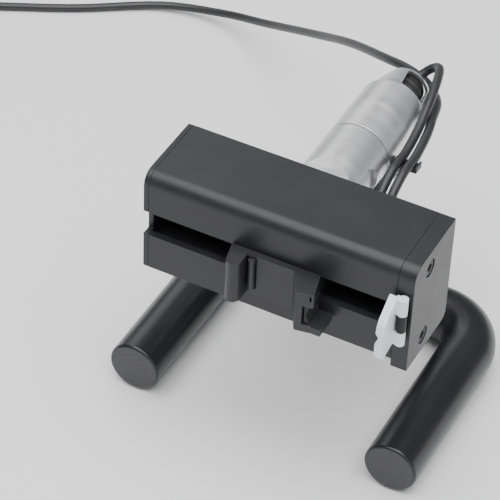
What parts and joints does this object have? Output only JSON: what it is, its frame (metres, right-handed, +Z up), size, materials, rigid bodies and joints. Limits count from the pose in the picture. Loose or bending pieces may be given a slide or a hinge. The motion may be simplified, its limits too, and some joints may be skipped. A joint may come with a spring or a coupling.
{
  "type": "timegrapher microphone stand",
  "caption": "Watch testing microphone: a swivelling clamping head with a sliding jaw on a round-bar U stand, with its signal cable.",
  "frame": {"origin": "on the table, under the middle of the stand's bounding box measured without the cable", "axes": "+X along the clamping head towards the fixed contact, +Y from the head's front to the cable end, along the swivel axis, +Z up"},
  "size_m": [0.3664, 0.2481, 0.1136],
  "materials": {
    "black_anodised": "black anodised, satin",
    "black_coated": "black coating, satin",
    "satin_aluminium": "satin, fine turned",
    "bright_steel": "bright",
    "black_steel": "black oxide",
    "black_moulding": "fine moulded grain",
    "white_nylon": "semi-matt, slightly waxy",
    "black_rubber": "matt",
    "bearing_bronze": "turned",
    "circuit_board": "solder resist",
    "sensor_ceramic": "matt",
    "cable_jacket": "smooth soft jacket"
  },
  "bodies": {
    "stand": {"base_bar": "black_coated", "foot_pad_1": "black_rubber", "foot_pad_2": "black_rubber", "foot_pad_3": "black_rubber", "foot_pad_4": "black_rubber", "post": "black_coated", "post_bolt": "black_steel", "rear_housing": "satin_aluminium", "front_bush": "bearing_bronze", "rear_bush": "bearing_bronze", "rear_cap": "satin_aluminium", "cable_boot": "black_rubber", "clamp_ring": "black_steel", "cable_clip": "black_moulding", "clip_screw": "bright_steel", "cable": "cable_jacket", "cable_coil": "cable_jacket", "cable_tail": "cable_jacket", "cable_tie": "black_rubber", "plug_boot": "black_rubber", "plug_grip": "black_moulding", "plug_shell": "bright_steel", "plug_insert": "black_moulding"},
    "head": {"front_sleeve": "satin_aluminium", "swivel_spindle": "bright_steel", "friction_washer": "bright_steel", "retaining_ring": "bright_steel", "sleeve_screw_1": "bright_steel", "sleeve_screw_2": "bright_steel", "preamp_board": "circuit_board", "amplifier_chip": "black_moulding", "head_block": "black_anodised", "end_plate": "black_anodised", "end_plate_screw_1": "black_steel", "end_plate_screw_2": "black_steel", "left_end_cap": "black_anodised", "left_cap_screw_1": "black_steel", "left_cap_screw_2": "black_steel", "guide_rod": "bright_steel", "sensor_stem": "black_steel", "piezo_element": "sensor_ceramic", "contact_pin": "bright_steel"},
    "jaw": {"jaw_body": "black_moulding", "jaw_pad": "black_rubber", "jaw_carriage": "black_moulding", "carriage_pin": "bright_steel", "catch_spring": "bright_steel"},
    "catch": {"release_catch": "black_moulding"},
    "contact": {"watch_contact": "white_nylon"}
  },
  "joints": [
    {"name": "head_swivel", "type": "hinge", "parent": "stand", "child": "head", "pos_m": [0, 0.003, 0.0909], "axis": [0, 1, 0], "range_deg": [-180, 180]},
    {"name": "jaw_slide", "type": "slide", "parent": "head", "child": "jaw", "axis": [1, 0, 0], "range_m": [-0.035, 0.02]},
    {"name": "catch_squeeze", "type": "hinge", "parent": "jaw", "child": "catch", "pos_m": [-0.0047, -0.0485, 0.0914], "axis": [0, 0, -1], "range_deg": [0, 3], "stiffness_Nm_per_rad": 0.05, "springref_deg": -9.74},
    {"name": "contact_rock", "type": "hinge", "parent": "head", "child": "contact", "pos_m": [0.0561, -0.0594, 0.0909], "axis": [0, 0, 1], "range_deg": [-8, 8]}
  ]
}
